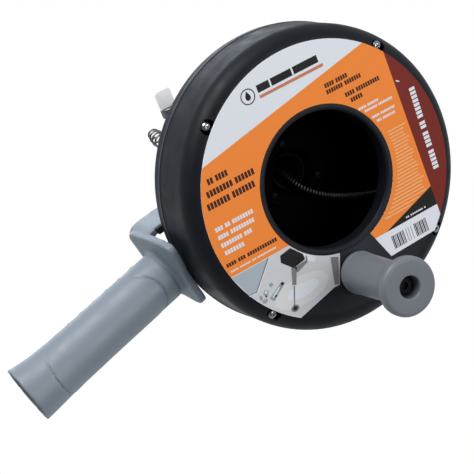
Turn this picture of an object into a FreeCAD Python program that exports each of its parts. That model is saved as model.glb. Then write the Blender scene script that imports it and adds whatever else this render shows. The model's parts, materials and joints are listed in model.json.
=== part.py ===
"""A hand-held drum auger: a spring cable coiled in a drum that spins in the sleeve of a pistol-grip handle.

Frame: millimetres, Z up, Y along the drum's axis towards the nose, X to the right as seen by the user.
The origin is on the drum's axis, in the plane of the drum's rear face.
"""
import FreeCAD, Part
import math
import os
import re
import Sketcher

V = FreeCAD.Vector
SIZES = {
    # drum shells
    "drum_radius": 99.2, "seam_radius": 98.6, "cover_radius": 97.4, "front_radius": 96.8,
    "drum_depth": 54.4, "seam_y": 46.5, "wall": 2.4, "rear_round": 12.0, "front_round": 2.4,
    "opening_radius": 46.0, "collar_depth": 11.0, "hub_radius": 26.0, "hub_y": 57.0,
    "lip_inner": 93.4, "lip_radius": 95.9, "lip_y": 40.0,
    # drum screws
    "screw_circle": 92.0, "pocket_radius": 5.0, "pocket_floor": 4.2, "boss_radius": 6.6, "boss_y": 26.0,
    "post_radius": 4.2, "screw_radius": 1.9, "head_radius": 3.3, "head_height": 2.2, "screw_length": 36.0,
    # label
    "label_radius": 90.0, "label_inner": 48.9, "label_thick": 0.3,
    # knob and its bolt
    "knob_circle": 65.8, "knob_turn": -15.8, "knob_length": 63.2, "knob_base": 14.2, "knob_waist": 13.2,
    "knob_flange": 19.4, "knob_recess": 7.3, "recess_depth": 11.5, "bolt_radius": 4.0, "thread_radius": 3.0,
    "running_gap": 0.05, "bolt_head": 6.2, "bolt_head_height": 4.0,
    "knob_seat": 1.1, "socket_radius": 2.6, "nut_radius": 5.8, "loose_gap": 0.2,
    # nose
    "journal_radius": 13.5, "nose_radius": 11.0, "nose_y": 222.0, "taper_y": 178.0, "bore_radius": 5.5,
    "flange_radius": 24.0, "flange_thick": 3.8, "groove_y": 92.4, "groove_width": 1.4,
    "groove_radius": 12.3, "clip_radius": 16.4, "nose_screw_circle": 20.0, "nose_screw_radius": 1.5,
    # handle sleeve and its bushes
    "sleeve_radius": 21.0, "sleeve_bore": 15.5, "sleeve_y": 60.5, "sleeve_end": 89.5,
    "bush_flange": 19.0, "bush_flange_thick": 1.5, "bush_length": 14.0, "thrust_radius": 22.0,
    # handle
    "guard_top": -100.5, "guard_thick": 5.0, "guard_left": -31.0, "guard_right": 22.5,
    "guard_rear": 25.8, "handle_front": 88.0, "arm_rear": 58.5, "arm_thick": 4.5, "arm_lean": 5.75,
    "grip_y": 64.0, "grip_radius": 17.3, "grip_flare": 19.3, "grip_end": -226.0, "grip_wall": 3.0,
    "end_tilt": 5.7, "cap_inset": 2.2, "cap_thick": 3.0,
    "rib_first": 15.0, "rib_pitch": 11.1, "rib_depth": 0.6,
    # cable
    "cable_radius": 3.175, "coil_radius": 83.6, "layer_step": 6.6, "coil_front": 38.0, "coil_rear": 11.0,
    "coil_drop": 1.6, "coil_end": 30.4, "anchor_radius": 66.0, "anchor_inset": 11.0, "coil_turn": 98.8,
    "front_start": 95.4, "front_end": 236.0, "head_tip": 268.0,
    # thumbscrew
    "clamp_y": 210.0, "clamp_turn": 182.8, "clamp_radius": 4.0, "clamp_tip": 3.6, "clamp_block": 6.3,
    "block_start": 26.0, "spade_start": 33.0, "spade_end": 47.0, "spade_thick": 2.6,
}

os.makedirs("parts", exist_ok=True)
doc = FreeCAD.newDocument("DrainAuger")
sheet = doc.addObject("Spreadsheet::Sheet", "Sizes")
for row, (alias, value) in enumerate(SIZES.items(), start=1):
    sheet.set(f"A{row}", alias)
    sheet.set(f"B{row}", str(value))
    sheet.setAlias(f"B{row}", alias)
doc.recompute()

NODES = []


def cells(text):
    """The expression with every size's name pointed at its cell."""
    return re.sub("[a-z_]+", lambda word: f"Sizes.{word[0]}" if word[0] in SIZES else word[0], text)


def number(text):
    """The value of an expression now."""
    return float(sheet.evalExpression(cells(text)))


def bind(thing, **properties):
    """Ties each property to an expression; a double underscore stands for a dot."""
    for name, text in properties.items():
        thing.setExpression(name.replace("__", "."), cells(text))


def place(thing, x="0", y="0", z="0", axis=V(0, 0, 1), angle="0"):
    """Puts a thing at a point, turned about an axis; the place follows the sheet."""
    thing.Placement = FreeCAD.Placement(V(0, 0, 0), FreeCAD.Rotation(axis, number(angle) or 0))
    bind(thing, Placement__Base__x=x, Placement__Base__y=y, Placement__Base__z=z)
    return thing


def rod(name, radius, start, end, x="0", z="0"):
    """A cylinder along Y, from one station to another."""
    cylinder = doc.addObject("Part::Cylinder", name)
    bind(cylinder, Radius=radius, Height=f"( {end} ) - ( {start} )")
    return place(cylinder, x, start, z, V(1, 0, 0), "-90")


def spoke(name, radius, start, end, turn, y):
    """A cylinder that points away from the drum's axis at an angle, between two distances from it."""
    cylinder = doc.addObject("Part::Cylinder", name)
    bind(cylinder, Radius=radius, Height=f"( {end} ) - ( {start} )")
    place(cylinder, f"( {start} ) * cos( ( {turn} ) * 1deg )", y, f"( {start} ) * sin( ( {turn} ) * 1deg )",
          V(0, 1, 0), f"90 - ( {turn} )")
    return cylinder


def ring_of(name, radius, start, end, circle, count, first="45"):
    """Equal cylinders along Y, spread evenly round a circle."""
    turns = [f"( {first} + {360 * index / count} ) * 1deg" for index in range(count)]
    return [rod(f"{name}{index}", radius, start, end, f"{circle} * cos( {turn} )",
                f"{circle} * sin( {turn} )")
            for index, turn in enumerate(turns)]


def fuse(name, shapes):
    joined = doc.addObject("Part::MultiFuse", name)
    joined.Shapes = shapes
    return joined


def cut(name, base, tools):
    tool = tools[0] if len(tools) == 1 else fuse(name + "_tools", tools)
    result = doc.addObject("Part::Cut", name)
    result.Base = base
    result.Tool = tool
    return result


def group(name, shapes):
    together = doc.addObject("Part::Compound", name)
    together.Links = shapes
    return together


def node(thing, label, turn="0"):
    """Names a finished piece and turns it about the drum's axis to where it rests."""
    thing.Label = label
    thing.Placement = FreeCAD.Placement(V(0, 0, 0), FreeCAD.Rotation(V(0, -1, 0), number(turn) or 0))
    NODES.append(thing)
    return thing


def draw(sketch, corners):
    """A closed outline of straight edges, each corner tied to a pair of expressions."""
    points = [V(number(x), number(y), 0) for x, y in corners]
    for index, point in enumerate(points):
        sketch.addGeometry(Part.LineSegment(point, points[(index + 1) % len(points)]))
    for index, (x, y) in enumerate(corners):
        sketch.addConstraint(Sketcher.Constraint("Coincident", index, 2, (index + 1) % len(points), 1))
    for index, (x, y) in enumerate(corners):
        for kind, text, axis in (("DistanceX", x, -2), ("DistanceY", y, -1)):
            if text == "0":
                sketch.addConstraint(Sketcher.Constraint("PointOnObject", index, 1, axis))
            else:
                row = sketch.addConstraint(Sketcher.Constraint(kind, -1, 1, index, 1, number(text)))
                sketch.setExpression(f"Constraints[{row}]", cells(text))


def body_sketch(name, plane, corners):
    """A body with one sketch on one of its own origin planes."""
    body = doc.addObject("PartDesign::Body", name)
    sketch = body.newObject("Sketcher::SketchObject", name + "_outline")
    origin_plane = next(item for item in body.Origin.OriginFeatures if item.Role == plane)
    sketch.AttachmentSupport = [(origin_plane, "")]
    sketch.MapMode = "FlatFace"
    draw(sketch, corners)
    return body, sketch


def turned(name, corners, rounds=()):
    """A piece turned about Y from (radius, station) corners; rounds are (radius, station, size) of edges."""
    body, sketch = body_sketch(name, "XY_Plane", corners)
    turn = body.newObject("PartDesign::Revolution", name + "_turn")
    turn.Profile = sketch
    turn.ReferenceAxis = (sketch, ["V_Axis"])
    turn.Angle = 360
    sketch.Visibility = False
    for index, (radius, station, size) in enumerate(rounds):
        doc.recompute()
        edges = circle_edges(body.Tip.Shape, number(radius), number(station))
        fillet = body.newObject("PartDesign::Fillet", f"{name}_round{index}")
        fillet.Base = (fillet.BaseFeature, edges)
        bind(fillet, Radius=size)
    return body


def circle_edges(shape, radius, station):
    """The names of the circular edges at a radius and a station along Y."""
    return [f"Edge{index}" for index, edge in enumerate(shape.Edges, start=1)
            if isinstance(edge.Curve, Part.Circle) and abs(edge.Curve.Radius - radius) < 0.01
            and abs(edge.Curve.Center.y - station) < 0.01]


def padded(name, plane, corners, length):
    """A plate of an outline's shape."""
    body, sketch = body_sketch(name, plane, corners)
    pad = body.newObject("PartDesign::Pad", name + "_pad")
    pad.Profile = sketch
    bind(pad, Length=length)
    return body


def washer(name, inner, outer, start, end):
    return turned(name, [(inner, start), (outer, start), (outer, end), (inner, end)])


def rear_shell():
    """The drum's rear half: round wall, rear face with its opening and collar, and the screw bosses."""
    solid = turned("rear_solid", [("0", "0"), ("drum_radius", "0"), ("drum_radius", "rear_round + 1"),
                                  ("seam_radius", "seam_y"), ("0", "seam_y")],
                   [("drum_radius", "0", "rear_round")])
    room = turned("rear_room", [("0", "-1"), ("opening_radius", "-1"), ("opening_radius", "collar_depth"),
                                ("opening_radius + wall", "collar_depth"),
                                ("opening_radius + wall", "wall"),
                                ("drum_radius - wall", "wall"), ("drum_radius - wall", "rear_round + 1"),
                                ("seam_radius - wall", "seam_y + 1"), ("0", "seam_y + 1")],
                  [("drum_radius - wall", "wall", "rear_round - wall")])
    bosses = ring_of("rear_boss", "post_radius", "wall / 2", "boss_y", "screw_circle", 4)
    bosses += ring_of("pocket_cup", "boss_radius", "wall / 2", "pocket_floor + wall", "screw_circle", 4)
    knob_boss = rod("knob_boss", "bolt_head + 4", "wall / 2", "wall + 5", "knob_circle")
    room_left = cut("rear_room_left", room, bosses + [knob_boss])
    pockets = ring_of("pocket", "pocket_radius", "-1", "pocket_floor", "screw_circle", 4)
    holes = ring_of("screw_hole", "screw_radius + 0.3", "0", "boss_y + 1", "screw_circle", 4)
    bolt_hole = rod("bolt_hole", "thread_radius + 0.1", "-1", "wall + 6", "knob_circle")
    node(cut("RearShell", solid, [room_left, bolt_hole] + pockets + holes), "drum_rear_shell", "knob_turn")


def front_shell():
    """The drum's front half: flat wall with a hub, a rim, and a lip that sits inside the rear half."""
    solid = turned("front_solid",
                   [("journal_radius + loose_gap", "drum_depth - wall"), ("lip_inner", "drum_depth - wall"),
                    ("lip_inner", "lip_y"), ("lip_radius", "lip_y"), ("lip_radius", "seam_y + loose_gap"),
                    ("cover_radius", "seam_y + loose_gap"), ("front_radius", "drum_depth"),
                    ("hub_radius", "drum_depth"), ("hub_radius", "hub_y"),
                    ("journal_radius + loose_gap", "hub_y")],
                   [("front_radius", "drum_depth", "front_round")])
    posts = ring_of("post", "post_radius", "boss_y + loose_gap", "drum_depth - wall / 2", "screw_circle", 4)
    post_x = "( anchor_inset - anchor_radius ) * cos( coil_turn * 1deg )"
    post_z = "( anchor_inset - anchor_radius ) * sin( coil_turn * 1deg )"
    anchor_post = rod("anchor_post", "4.6", "coil_end + 5", "drum_depth - wall / 2", post_x, post_z)
    pilots = ring_of("pilot", "screw_radius", "boss_y", "boss_y + 18", "screw_circle", 4)
    nose_pilots = ring_of("nose_pilot", "nose_screw_radius", "drum_depth - wall - 1", "hub_y - 1",
                          "nose_screw_circle", 3, "60")
    anchor_pilot = rod("anchor_pilot", "1.5", "coil_end + 4", "coil_end + 15", post_x, post_z)
    whole = fuse("FrontWhole", [solid, anchor_post] + posts)
    node(cut("FrontShell", whole, pilots + nose_pilots + [anchor_pilot]), "drum_front_shell", "knob_turn")


def pan_screws(name, label, head, height, shank, seat, length, circle, count, first, turn="knob_turn"):
    """Pan-head screws with a cross slot, spread round a circle and driven along +Y from their seat."""
    heads = ring_of(name + "_head", head, f"{seat} - {height}", seat, circle, count, first)
    shanks = ring_of(name + "_shank", shank, seat, f"{seat} + {length}", circle, count, first)
    screws = []
    for index in range(count):
        angle = f"( {first} + {360 * index / count} ) * 1deg"
        slots = []
        for side in (0, 1):
            slot = doc.addObject("Part::Box", f"{name}_slot{index}{side}")
            long_side, short_side = f"{head} * 1.2", f"{head} * 0.26"
            sizes = (long_side, short_side) if side == 0 else (short_side, long_side)
            bind(slot, Length=sizes[0], Width=f"{height} * 0.6 + 1", Height=sizes[1])
            place(slot, f"{circle} * cos( {angle} ) - ( {sizes[0]} ) / 2", f"{seat} - {height} - 1",
                  f"{circle} * sin( {angle} ) - ( {sizes[1]} ) / 2")
            slots.append(slot)
        whole = fuse(f"{name}_whole{index}", [heads[index], shanks[index]])
        screws.append(cut(f"{name}_{index}", whole, slots))
    node(group(name, screws), label, turn)


def rear_label():
    """The printed label: a ring left open round the knob, whose edge covers part of each screw pocket."""
    sheet_ring = washer("label_ring", "label_inner", "label_radius", "0 - label_thick", "0")
    gap_corners = [("30", "-5"), ("49.5", "-8.8"), ("67.6", "-15.6"), ("67.5", "-19.8"), ("75.7", "-50.4"),
                   ("105", "-50.4"), ("105", "63"), ("64.8", "63"), ("66.8", "26.3"), ("46.7", "17.3"),
                   ("30", "10.6")]
    gap = padded("label_gap", "XZ_Plane", gap_corners, "4")
    place(gap, y="2")
    node(cut("Label", sheet_ring, [gap]), "rear_label", "knob_turn")


def knob():
    """The crank knob turns on its bolt; the bolt's head sits in a recess in the knob's end."""
    end = "0 - knob_length"
    floor = "recess_depth - knob_length"
    body = turned("Knob", [("bolt_radius + running_gap", "-1.3"), ("knob_base", "-1.3"),
                           ("knob_waist", "14 - knob_length"), ("knob_flange", "6 - knob_length"),
                           ("knob_flange", end), ("knob_recess", end), ("knob_recess", floor),
                           ("bolt_radius + running_gap", floor)],
                  [("knob_waist", "14 - knob_length", "12"), ("knob_flange", "6 - knob_length", "3"),
                   ("knob_flange", end, "2.4"), ("knob_recess", end, "0.8"), ("knob_base", "-1.3", "0.8")])
    place(body, "knob_circle")
    node(group("KnobPlaced", [body]), "knob", "knob_turn")
    seat = "recess_depth - knob_length - 1.2"
    bolt = turned("knob_bolt_body", [("0", f"{seat} - bolt_head_height"),
                                     ("bolt_head", f"{seat} - bolt_head_height"),
                                     ("bolt_head", seat), ("bolt_radius", seat),
                                     ("bolt_radius", "0 - knob_seat"),
                                     ("thread_radius", "0 - knob_seat"), ("thread_radius", "14"),
                                     ("0", "14")],
                  [("bolt_head", f"{seat} - bolt_head_height", "1.4")])
    socket = padded("bolt_socket", "XZ_Plane",
                    [(f"socket_radius * cos( {60 * side} * 1deg )",
                      f"socket_radius * sin( {60 * side} * 1deg )") for side in range(6)], "6")
    place(socket, y=f"{seat} - bolt_head_height + 2.4")
    for name, label, thing in (("KnobBolt", "knob_bolt", cut("bolt_cut", bolt, [socket])),
                               ("KnobEndWasher", "knob_end_washer",
                                washer("end_washer", "bolt_radius + loose_gap", "bolt_head + 0.6",
                                       f"{seat} + 0.05", f"{seat} + 1.05")),
                               ("KnobWasher", "knob_washer",
                                washer("base_washer", "thread_radius + 0.1", "9", "0 - knob_seat", "-0.1"))):
        place(thing, "knob_circle")
        node(group(name, [thing]), label, "knob_turn")
    hexagon = padded("nut_hex", "XZ_Plane",
                     [(f"nut_radius * cos( {60 * side} * 1deg )",
                       f"nut_radius * sin( {60 * side} * 1deg )") for side in range(6)], "5")
    nut = cut("nut_cut", hexagon, [rod("nut_hole", "thread_radius", "-9", "9")])
    place(nut, "knob_circle", "wall + 10.1")
    node(group("KnobNut", [nut]), "knob_nut", "knob_turn")


def nose():
    """The drum's neck: a flange inside the front wall, the journal that runs in the handle, and the nose."""
    tube = turned("nose_turned",
                  [("clip_radius", "drum_depth - wall - flange_thick"),
                   ("flange_radius", "drum_depth - wall - flange_thick"),
                   ("flange_radius", "drum_depth - wall"), ("journal_radius", "drum_depth - wall"),
                   ("journal_radius", "groove_y"), ("groove_radius", "groove_y"),
                   ("groove_radius", "groove_y + groove_width"),
                   ("journal_radius", "groove_y + groove_width"),
                   ("journal_radius", "groove_y + groove_width + 3"), ("nose_radius", "taper_y"),
                   ("nose_radius", "nose_y"), ("bore_radius", "nose_y"), ("bore_radius", "79"),
                   ("9.4", "58"), ("11.6", "52.5")],
                  [("nose_radius", "nose_y", "1.5")])
    holes = ring_of("flange_hole", "nose_screw_radius + loose_gap", "40", "drum_depth",
                    "nose_screw_circle", 3, "60")
    clamp_hole = spoke("clamp_hole", "clamp_radius + running_gap", "2", "nose_radius + 6", "clamp_turn",
                       "clamp_y")
    node(cut("Nose", tube, holes + [clamp_hole]), "nose_tube", "knob_turn")
    pan_screws("NoseScrews", "nose_screws", "2.9", "2", "nose_screw_radius",
               "drum_depth - wall - flange_thick", "7.2", "nose_screw_circle", 3, "60")
    node(washer("ThrustWasher", "journal_radius + loose_gap", "thrust_radius", "hub_y + loose_gap",
                "hub_y + 1.7"), "thrust_washer", "knob_turn")
    node(washer("RetainingWasher", "journal_radius + loose_gap", "18.5", "sleeve_end + 1.7",
                "sleeve_end + 2.7"), "retaining_washer", "knob_turn")
    clip = washer("clip_ring", "groove_radius + 0.05", "clip_radius", "groove_y + 0.1",
                  "groove_y + groove_width - 0.1")
    mouth = doc.addObject("Part::Box", "clip_mouth")
    bind(mouth, Length="20", Width="4", Height="9")
    place(mouth, "0", "groove_y - 1", "-4.5")
    node(cut("Clip", clip, [mouth]), "retaining_clip", "knob_turn")
    node(washer("MouthBush", "cable_radius + 0.4", "bore_radius - 0.02", "nose_y - 6", "nose_y + 1"),
         "mouth_bush", "knob_turn")


def clamp():
    """The collar on the nose and the thumbscrew that grips the cable through it."""
    collar = washer("collar_ring", "nose_radius + 0.05", "nose_radius + 3.6", "clamp_y - 7.5",
                    "clamp_y + 7.5")
    boss = spoke("collar_boss", "7.6", "nose_radius + 1", "22", "clamp_turn", "clamp_y")
    inside = rod("collar_inside", "nose_radius + 0.05", "clamp_y - 8", "clamp_y + 8")
    thread = spoke("collar_thread", "clamp_radius + running_gap", "2", "24", "clamp_turn", "clamp_y")
    node(cut("Collar", fuse("CollarWhole", [collar, boss]), [inside, thread]), "screw_collar", "knob_turn")
    shank = spoke("clamp_shank", "clamp_radius", "clamp_tip", "block_start + 1", "clamp_turn", "clamp_y")
    block = spoke("clamp_block_rod", "clamp_block", "block_start", "spade_start", "clamp_turn", "clamp_y")
    spade = padded("spade", "XZ_Plane",
                   [("spade_start - 1", "0 - clamp_block"), ("spade_end - 3", "0 - clamp_block"),
                    ("spade_end", "3 - clamp_block"), ("spade_end", "clamp_block - 3"),
                    ("spade_end - 3", "clamp_block"), ("spade_start - 1", "clamp_block")], "spade_thick")
    spade.Placement = FreeCAD.Placement(V(0, 0, 0), FreeCAD.Rotation(V(0, -1, 0), number("clamp_turn")))
    bind(spade, Placement__Base__y="clamp_y + spade_thick / 2")
    node(fuse("Thumbscrew", [shank, block, spade]), "thumbscrew", "knob_turn")


def tube_along(edges, start, heading):
    """A round cable swept along tangent lines and arcs."""
    circle = Part.Wire([Part.Circle(start, heading, number("cable_radius")).toShape()])
    return Part.Wire(edges).makePipeShell([circle], True, False)


def rounded_route(points):
    """Straight runs between points, joined by arcs as large as the shorter run of each corner allows."""
    edges, start = [], points[0]
    for before, corner, after in zip(points, points[1:], points[2:]):
        into, out = (corner - before), (after - corner)
        half_turn = into.getAngle(out) / 2
        trim = 0.45 * min(into.Length, out.Length)
        print("cable bend radius %.1f" % (trim / math.tan(half_turn)))
        into.normalize()
        out.normalize()
        first, last = corner - into * trim, corner + out * trim
        bisector = (out - into)
        bisector.normalize()
        radius = trim / math.tan(half_turn)
        middle = corner + bisector * (radius / math.cos(half_turn) - radius)
        edges += [Part.LineSegment(start, first).toShape(), Part.Arc(first, middle, last).toShape()]
        start = last
    return edges + [Part.LineSegment(start, points[-1]).toShape()]


def around(turn, radius, y):
    """A point at an angle, distance and station in the drum's own frame."""
    return V(radius * math.cos(math.radians(turn)), y, radius * math.sin(math.radians(turn)))


def coil_edges():
    """The coil as half turns whose ends lie on one diameter, so that each meets the next in line."""
    turn, outer, step = number("coil_turn"), number("coil_radius"), number("layer_step")
    front, rear = number("coil_front"), number("coil_rear")
    half_turns = 8
    down = [(outer, front + (rear - front) * index / half_turns) for index in range(half_turns + 1)]
    low, top = rear - number("coil_drop"), number("coil_end")
    up = [(outer - step, low + (top - low) * index / 6) for index in range(7)]
    stations = down + up + [(outer - 2 * step, top + 0.8), (number("anchor_radius"), top)]
    points = [around(turn + 180 * index, radius, y) for index, (radius, y) in enumerate(stations)]
    edges = []
    for index, (start, end) in enumerate(zip(points, points[1:])):
        side = around(turn + 90 + 180 * index, 1, 0)
        middle = (start + end) * 0.5 + side * ((end - start).Length / 2)
        edges.append(Part.Arc(start, middle, end).toShape())
    return edges, points


def drum_cable(name, label, edges, start, heading):
    """A stretch of the cable that turns with the drum."""
    stretch = doc.addObject("Part::Feature", name)
    stretch.Shape = tube_along(edges, start, heading)
    volume = stretch.Shape.Volume
    length = sum(edge.Length for edge in edges)
    print("%s length %.0f mm, volume over section x length %.4f"
          % (label, length, volume / (math.pi * number("cable_radius") ** 2 * length)))
    return node(stretch, label, "knob_turn")


def cable():
    """The spring cable: the coil in the drum, the lead to the neck, the straight run and the bulb head."""
    edges, points = coil_edges()
    drum_cable("CableCoil", "cable_coil", edges, points[0], around(number("coil_turn") + 90, 1, 0))
    route = [V(0, 95, 0), V(0.3, 66, -0.6), V(5.5, 52, -3), V(15, 43, -0.5), V(26, 38.7, 8),
             V(34, 38, 18.5), V(39.5, 38, 30.5)]
    unturn = FreeCAD.Rotation(V(0, 1, 0), number("knob_turn"))
    route = [unturn.multVec(point) for point in route]
    lead = rounded_route(route)
    into = route[-1] - route[-2]
    into.y = 0
    into.normalize()
    left = V(-into.z, 0, into.x)
    end = V(route[-1].x, 0, route[-1].z)
    radius = number("coil_radius")
    bend = (radius ** 2 - end.dot(end)) / (2 * (radius + end.dot(left)))
    centre = route[-1] + left * bend
    outward = V(centre.x, 0, centre.z)
    outward.normalize()
    finish = centre + outward * bend
    middle_way = outward - left
    middle_way.normalize()
    lead.append(Part.Arc(route[-1], centre + middle_way * bend, finish).toShape())
    joined_at = math.degrees(math.atan2(finish.z, finish.x))
    print("lead joins the coil at %.2f degrees, bend %.1f" % (joined_at, bend))
    drum_cable("CableLead", "cable_lead", lead, route[0], V(0, -1, 0))
    node(group("CableFront", [rod("cable_rod", "cable_radius", "front_start", "front_end")]), "cable_front")
    head = turned("HeadBody", [("0", "front_end + 0.05"), ("cable_radius", "front_end + 0.05"),
                               ("cable_radius + 1.5", "front_end + 9"),
                               ("cable_radius + 1.5", "front_end + 19"),
                               ("cable_radius + 0.2", "head_tip - 1"), ("cable_radius - 1.2", "head_tip"),
                               ("0", "head_tip")])
    node(head, "bulb_head")


def anchor():
    """A saddle clip round the cable's inner end and the screw that holds it to its post in the drum."""
    saddle = doc.addObject("Part::Cylinder", "saddle")
    bind(saddle, Radius="cable_radius + 1.8", Height="6")
    place(saddle, "anchor_radius", "coil_end", "-7")
    groove = doc.addObject("Part::Cylinder", "saddle_groove")
    bind(groove, Radius="cable_radius + 0.45", Height="20")
    place(groove, "anchor_radius", "coil_end", "-14")
    foot = doc.addObject("Part::Box", "saddle_foot")
    bind(foot, Length="anchor_inset + 5", Width="1.6", Height="11.6")
    place(foot, "anchor_radius - anchor_inset - 5", "coil_end + 3.4", "-7")
    hole = rod("saddle_hole", "1.7", "coil_end", "coil_end + 9", "anchor_radius - anchor_inset")
    turn = "knob_turn + coil_turn + 180"
    node(cut("Anchor", fuse("AnchorWhole", [saddle, foot]), [groove, hole]), "cable_anchor", turn)
    pan_screws("AnchorScrew", "anchor_screw", "3", "2", "1.5", "coil_end + 3.4", "9",
               "( anchor_radius - anchor_inset )", 1, "0", turn)


def handle():
    """The pistol-grip handle: sleeve, arm, guard and hollow grip in one moulding."""
    lean = "arm_lean * 1deg"
    outer, inner = "sleeve_radius", "sleeve_radius - arm_thick"

    def on_arm(offset, z):
        """X of a line that runs beside the arm, at a height."""
        return f"0 - ( {offset} ) / cos( {lean} ) + ( {z} ) * tan( {lean} )"

    low, top = "guard_top - guard_thick", "guard_top"
    arm = padded("arm_outline", "XZ_Plane",
                 [(on_arm(outer, "2"), "2"), (on_arm(outer, "guard_top + 5"), "guard_top + 5"),
                  ("guard_left + 0.7", "guard_top + 0.6"), ("guard_left + 2.6", "guard_top - 2.4"),
                  ("guard_left + 5.5", "guard_top - 4.3"), ("guard_left + 9", low),
                  ("guard_left + 20", low), ("guard_left + 20", top),
                  ("guard_left + 9", top), ("guard_left + 6", "guard_top + 1.2"),
                  (on_arm(inner, "guard_top + 5"), "guard_top + 5"), (on_arm(inner, "2"), "2")],
                 "handle_front - arm_rear")
    place(arm, y="handle_front")
    guard = padded("guard_outline", "XY_Plane",
                   [("guard_left + 9", "handle_front"), ("guard_left + 5", "handle_front - 1"),
                    ("guard_left + 2.2", "handle_front - 3.8"), ("guard_left + 1", "handle_front - 8"),
                    ("guard_left + 1", "46"), ("guard_left + 1.4", "38"), ("guard_left + 2.4", "31.5"),
                    ("guard_left + 3.6", "guard_rear + 1.4"), ("guard_left + 5.5", "guard_rear"),
                    ("guard_left + 9", "guard_rear"), ("guard_left + 13", "27"), ("-13.7", "28.2"),
                    ("-9.2", "30.2"), ("-5", "32.4"), ("-1", "34"), ("4", "34.7"), ("15", "34.9"),
                    ("guard_right - 3.4", "35.4"), ("guard_right - 1", "37.2"), ("guard_right", "40"),
                    ("guard_right", "46"), ("20.6", "56"), ("18.4", "66"), ("13", "78"), ("4", "86"),
                    ("-6", "handle_front")],
                   "guard_thick")
    place(guard, z=low)
    sleeve = rod("sleeve_out", "sleeve_radius", "sleeve_y", "sleeve_end")
    grip_corners = [("0", "0"), ("grip_radius + 1.6", "0"), ("grip_radius + 0.4", "-1"),
                    ("grip_radius", "-3"), ("grip_radius + 0.1", "-60"), ("grip_radius + 0.4", "-88"),
                    ("grip_flare - 0.7", "-105"),
                    ("grip_flare", "grip_end - guard_top + guard_thick - 3"),
                    ("0", "grip_end - guard_top + guard_thick - 3")]
    body, sketch = body_sketch("grip_outline", "XZ_Plane", grip_corners)
    turn = body.newObject("PartDesign::Revolution", "grip_turn")
    turn.Profile = sketch
    turn.ReferenceAxis = (sketch, ["V_Axis"])
    turn.Angle = 360
    place(body, "0", "grip_y", low)
    hollow = doc.addObject("Part::Cylinder", "grip_hollow")
    bind(hollow, Radius="grip_radius - grip_wall", Height="guard_top - guard_thick - grip_end - 3 + 3")
    place(hollow, "0", "grip_y", "grip_end - 3")
    end_cut = at_grip_end("end_cut", "grip_flare + 20", "10", "-10")
    seat = at_grip_end("cap_seat", "grip_flare - cap_inset", "cap_thick + 1", "-1")
    whole = fuse("HandleWhole", [arm, guard, sleeve, body] + grip_ribs())
    bore = rod("sleeve_hole", "sleeve_bore", "sleeve_y - 2", "sleeve_end + 2")
    bush_seat = rod("bush_seat", "thrust_radius + 0.6", "arm_rear - 2", "sleeve_y")
    node(cut("Handle", whole, [bore, end_cut, hollow, seat, bush_seat]), "handle")
    bumper = padded("Bumper", "XZ_Plane",
                    [(on_arm(outer, "-72"), "-72"), (on_arm(outer, "guard_top + 5"), "guard_top + 5"),
                     (on_arm(inner, "guard_top + 5"), "guard_top + 5"), (on_arm(inner, "-72"), "-72")],
                    "arm_rear - drum_depth - 0.7")
    node(bumper, "drum_bumper")
    bumper.Placement.Base = V(0, number("arm_rear"), 0)
    bind(bumper, Placement__Base__y="arm_rear")
    cap = at_grip_end("GripCap", "grip_flare - cap_inset", "cap_thick - 0.8", "0.8")
    node(group("CapPlaced", [cap]), "grip_end_cap")


def at_grip_end(name, radius, height, start):
    """A disc square to the grip's end, which is cut a few degrees off square to the grip."""
    tilt = "end_tilt * 1deg"
    disc = doc.addObject("Part::Cylinder", name)
    bind(disc, Radius=radius, Height=height)
    place(disc, "0", f"grip_y - ( {start} ) * sin( {tilt} )", f"grip_end + ( {start} ) * cos( {tilt} )",
          V(1, 0, 0), "end_tilt")
    return disc


def grip_ribs():
    """Short raised ribs across the front of the grip."""
    ribs = []
    for index in range(7):
        rib = doc.addObject("Part::Torus", f"rib{index}")
        bind(rib, Radius1="grip_radius - 0.6", Radius2="rib_depth + 0.6", Angle3="150")
        place(rib, "0", "grip_y", f"guard_top - guard_thick - rib_first - {index} * rib_pitch",
              V(0, 0, 1), "15")
        ribs.append(rib)
    return ribs


def bushes():
    """Two flanged bushes, one pressed into each end of the sleeve."""
    inner, outer = "journal_radius + running_gap", "sleeve_bore"
    node(turned("RearBush", [(inner, "sleeve_y - bush_flange_thick"),
                             ("bush_flange", "sleeve_y - bush_flange_thick"),
                             ("bush_flange", "sleeve_y"), (outer, "sleeve_y"),
                             (outer, "sleeve_y + bush_length - 2"), (inner, "sleeve_y + bush_length - 2")]),
         "rear_bush")
    node(turned("FrontBush", [(inner, "sleeve_end - bush_length + 2"),
                              (outer, "sleeve_end - bush_length + 2"),
                              (outer, "sleeve_end"), ("bush_flange", "sleeve_end"),
                              ("bush_flange", "sleeve_end + bush_flange_thick"),
                              (inner, "sleeve_end + bush_flange_thick")]),
         "front_bush")


def finish():
    """Recomputes, checks every object and writes each named piece."""
    doc.recompute()
    for thing in doc.Objects:
        if "Invalid" in thing.State or "Error" in thing.State:
            raise RuntimeError(f"{thing.Name} failed: {thing.State}")
    for thing in NODES:
        shape = thing.Shape
        if shape.isNull() or not shape.isValid() or not shape.Solids:
            raise RuntimeError(f"{thing.Label} has no valid solid")
        shape.exportStep(f"parts/{thing.Label}.step")
        print("%-18s solids %d volume %9.1f mm3" % (thing.Label, len(shape.Solids), shape.Volume))


rear_shell()
front_shell()
pan_screws("DrumScrews", "drum_screws", "head_radius", "head_height", "screw_radius", "pocket_floor",
           "screw_length", "screw_circle", 4, "45")
rear_label()
knob()
nose()
clamp()
cable()
anchor()
handle()
bushes()
finish()
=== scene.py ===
"""A hand-held drum auger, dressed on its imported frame. Drawings are in millimetres and meshes in metres."""

import json
import math

import bmesh
import bpy
import numpy as np
from mathutils import Matrix, Vector


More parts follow.
